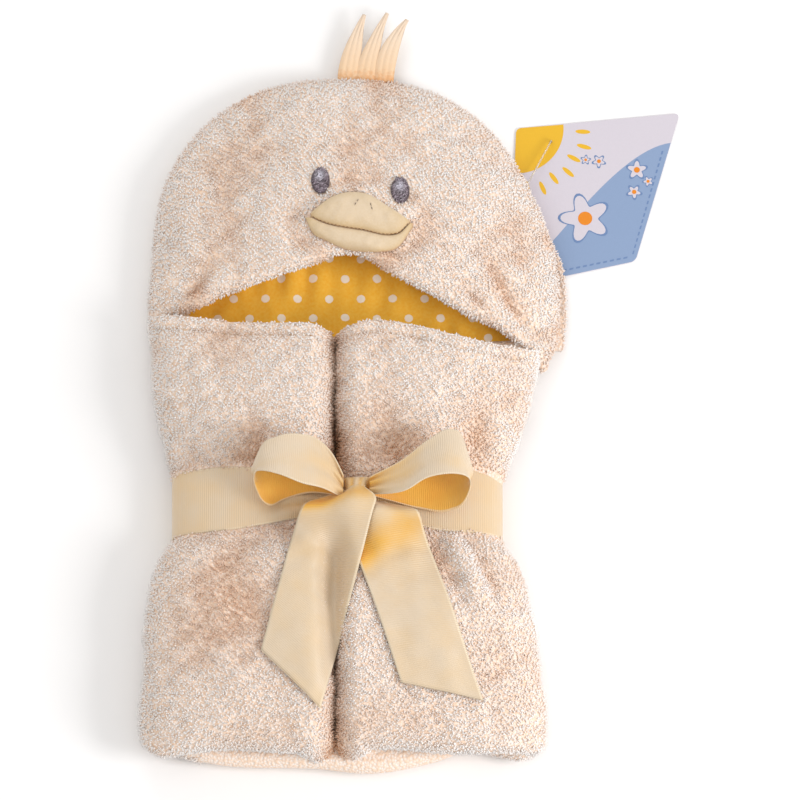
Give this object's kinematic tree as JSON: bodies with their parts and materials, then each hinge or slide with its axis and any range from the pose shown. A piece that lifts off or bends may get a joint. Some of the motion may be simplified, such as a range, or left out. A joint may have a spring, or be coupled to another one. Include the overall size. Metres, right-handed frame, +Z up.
{
  "type": "hooded baby towel",
  "caption": "Folded terry baby towel with a padded animal-face hood and dotted lining, tied with a satin ribbon bow and fitted with a blank card hang tag.",
  "frame": {"origin": "middle of the folded bundle's back face, on the surface it lies on", "axes": "+Z up from the back face, +Y from the foot of the bundle to the crown of the hood, +X to the right as seen from above"},
  "size_m": [0.3727, 0.557, 0.0851],
  "materials": {
    "terry": "matte",
    "hem_thread": "matte",
    "lining": "matte",
    "fleece": "matte",
    "dark_thread": "satin",
    "felt": "matte",
    "ribbon": "satin",
    "card": "satin",
    "clear_plastic": "gloss"
  },
  "bodies": {
    "bundle": {"towel_back_panel": "terry", "towel_left_fold": "terry", "towel_right_fold": "terry", "left_hem_stitching": "hem_thread", "right_hem_stitching": "hem_thread", "ribbon_band": "ribbon", "bow_knot": "ribbon"},
    "hood": {"hood_back": "terry", "hood_front": "terry", "hood_lining_back": "lining", "hood_lining_front": "lining", "bill_upper": "fleece", "bill_lower": "fleece", "bill_stitching": "dark_thread", "nostril_stitches": "dark_thread", "left_eye": "dark_thread", "right_eye": "dark_thread", "tag_fastener": "clear_plastic"},
    "tuft_body": {"tuft": "felt"},
    "loop_left": {"bow_loop_left": "ribbon"},
    "loop_right": {"bow_loop_right": "ribbon"},
    "tail_left": {"ribbon_tail_left": "ribbon"},
    "tail_right": {"ribbon_tail_right": "ribbon"},
    "tag": {"hang_tag": "card"}
  },
  "joints": [
    {"name": "hood_tip", "type": "hinge", "parent": "bundle", "child": "hood", "pos_m": [0.007, 0.163, 0.006], "axis": [1, 0, 0], "range_deg": [0, 30]},
    {"name": "tuft_bend", "type": "hinge", "parent": "hood", "child": "tuft_body", "pos_m": [0.013, 0.349, 0.0105], "axis": [1, 0, 0], "range_deg": [-8, 75], "stiffness_Nm_per_rad": 0.01},
    {"name": "loop_left_lift", "type": "hinge", "parent": "bundle", "child": "loop_left", "pos_m": [-0.007, 0.033, 0.062], "axis": [0, 1, 0], "range_deg": [0, 40], "stiffness_Nm_per_rad": 0.02},
    {"name": "loop_right_lift", "type": "hinge", "parent": "bundle", "child": "loop_right", "pos_m": [0.023, 0.033, 0.062], "axis": [0, -1, 0], "range_deg": [0, 40], "stiffness_Nm_per_rad": 0.02},
    {"name": "tail_left_lift", "type": "hinge", "parent": "bundle", "child": "tail_left", "pos_m": [-0.0065, 0.008, 0.0615], "axis": [-1, 0, 0], "range_deg": [0, 80]},
    {"name": "tail_right_lift", "type": "hinge", "parent": "bundle", "child": "tail_right", "pos_m": [0.0218, 0.008, 0.0615], "axis": [-1, 0, 0], "range_deg": [0, 80]},
    {"name": "tag_swing", "type": "hinge", "parent": "hood", "child": "tag", "pos_m": [0.143, 0.306, 0.0003], "axis": [0, 0, 1], "range_deg": [-15, 15]}
  ]
}
